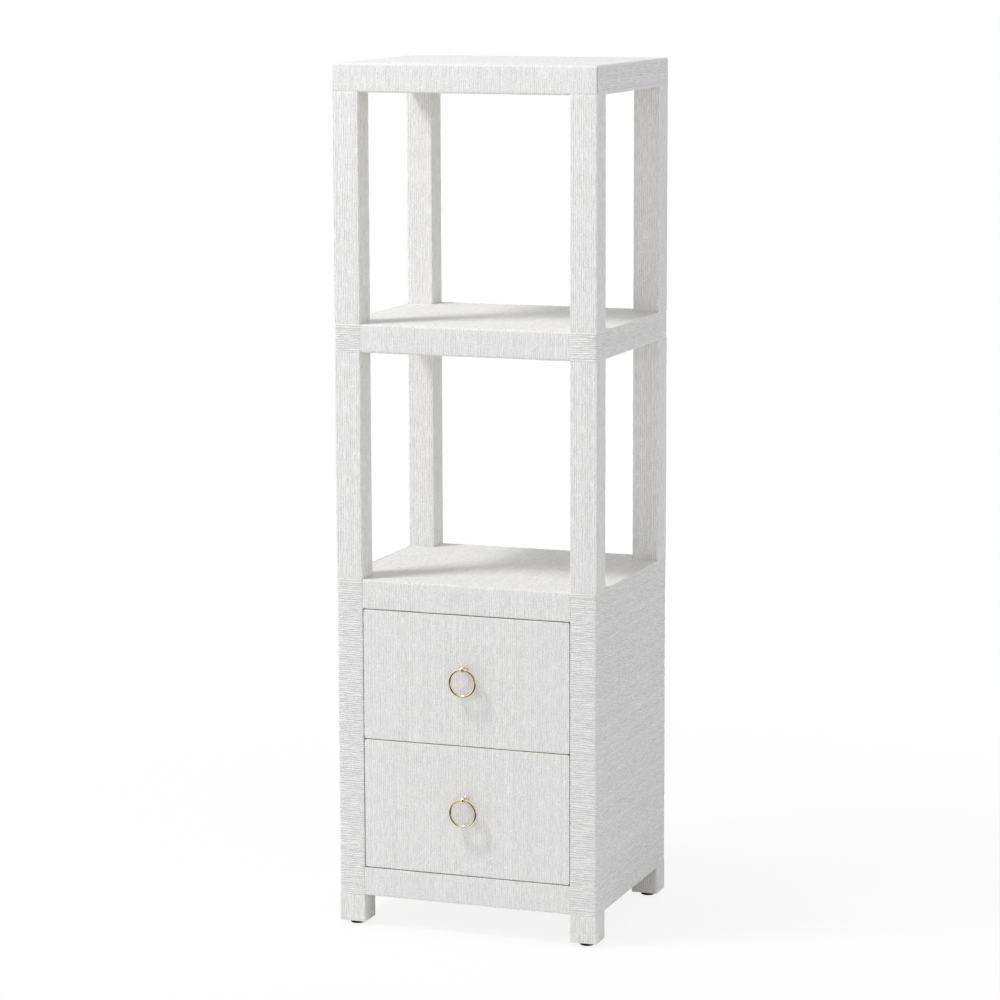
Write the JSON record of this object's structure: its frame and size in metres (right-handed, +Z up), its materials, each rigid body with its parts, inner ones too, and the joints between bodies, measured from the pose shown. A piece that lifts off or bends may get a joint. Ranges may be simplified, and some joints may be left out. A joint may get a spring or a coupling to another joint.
{
  "type": "tall open cabinet",
  "caption": "Tall free-standing open tower wrapped in white raffia, with open bays between square posts over a base of flush drawers with brass ring pulls.",
  "frame": {"origin": "on the floor, under the middle of the whole object with its ring pulls", "axes": "+Z up, the drawers face -Y, +X to the right as seen from the front"},
  "size_m": [0.432, 0.3754, 1.372],
  "materials": {
    "white_raffia": "matte",
    "frame_wood": "matte",
    "white_board": "satin",
    "drawer_wood": "satin",
    "zinc_steel": "satin",
    "polished_brass": "polished",
    "black_plastic": "satin"
  },
  "bodies": {
    "cabinet": {"apron": "frame_wood", "apron_wrap": "white_raffia", "back_panel": "white_board", "base_band_left": "white_raffia", "base_band_right": "white_raffia", "bay_post_wraps": "white_raffia", "bottom_board": "white_board", "deck_board": "frame_wood", "deck_rail": "frame_wood", "deck_wrap": "white_raffia", "dowels": "frame_wood", "foot_wraps": "white_raffia", "glide_back_left": "black_plastic", "glide_back_right": "black_plastic", "glide_front_left": "black_plastic", "glide_front_right": "black_plastic", "lower_rail_left": "zinc_steel", "lower_rail_right": "zinc_steel", "post_back_left": "frame_wood", "post_back_right": "frame_wood", "post_front_left": "frame_wood", "post_front_right": "frame_wood", "rail_screws": "zinc_steel", "shelf_band_left": "white_raffia", "shelf_band_right": "white_raffia", "shelf_board": "frame_wood", "shelf_wrap": "white_raffia", "side_panel_left": "frame_wood", "side_panel_right": "frame_wood", "slide_board_left": "white_board", "slide_board_right": "white_board", "top_board": "frame_wood", "top_wrap": "white_raffia", "upper_rail_left": "zinc_steel", "upper_rail_right": "zinc_steel"},
    "lower_drawer": {"lower_back": "drawer_wood", "lower_bottom": "drawer_wood", "lower_front": "frame_wood", "lower_front_wrap": "white_raffia", "lower_pull_stud": "polished_brass", "lower_runner_left": "zinc_steel", "lower_runner_right": "zinc_steel", "lower_screws": "zinc_steel", "lower_side_left": "drawer_wood", "lower_side_right": "drawer_wood"},
    "lower_cages": {"lower_ball_cages": "zinc_steel"},
    "lower_ring": {"lower_pull_ring": "polished_brass"},
    "upper_drawer": {"upper_back": "drawer_wood", "upper_bottom": "drawer_wood", "upper_front": "frame_wood", "upper_front_wrap": "white_raffia", "upper_pull_stud": "polished_brass", "upper_runner_left": "zinc_steel", "upper_runner_right": "zinc_steel", "upper_screws": "zinc_steel", "upper_side_left": "drawer_wood", "upper_side_right": "drawer_wood"},
    "upper_cages": {"upper_ball_cages": "zinc_steel"},
    "upper_ring": {"upper_pull_ring": "polished_brass"}
  },
  "joints": [
    {"name": "lower_drawer_slide", "type": "slide", "parent": "cabinet", "child": "lower_drawer", "axis": [0, -1, 0], "range_m": [0, 0.22]},
    {"name": "lower_cages_roll", "type": "slide", "parent": "cabinet", "child": "lower_cages", "axis": [0, -1, 0], "range_m": [0, 0.11]},
    {"name": "lower_ring_swing", "type": "hinge", "parent": "lower_drawer", "child": "lower_ring", "pos_m": [0, -0.18275, 0.22405], "axis": [-1, 0, 0], "range_deg": [-15, 195]},
    {"name": "upper_drawer_slide", "type": "slide", "parent": "cabinet", "child": "upper_drawer", "axis": [0, -1, 0], "range_m": [0, 0.22]},
    {"name": "upper_cages_roll", "type": "slide", "parent": "cabinet", "child": "upper_cages", "axis": [0, -1, 0], "range_m": [0, 0.11]},
    {"name": "upper_ring_swing", "type": "hinge", "parent": "upper_drawer", "child": "upper_ring", "pos_m": [0, -0.18275, 0.43355], "axis": [-1, 0, 0], "range_deg": [-15, 195]}
  ],
  "couplings": [
    {"joint": "lower_cages_roll", "follows": "lower_drawer_slide", "ratio": 0.5},
    {"joint": "upper_cages_roll", "follows": "upper_drawer_slide", "ratio": 0.5}
  ]
}
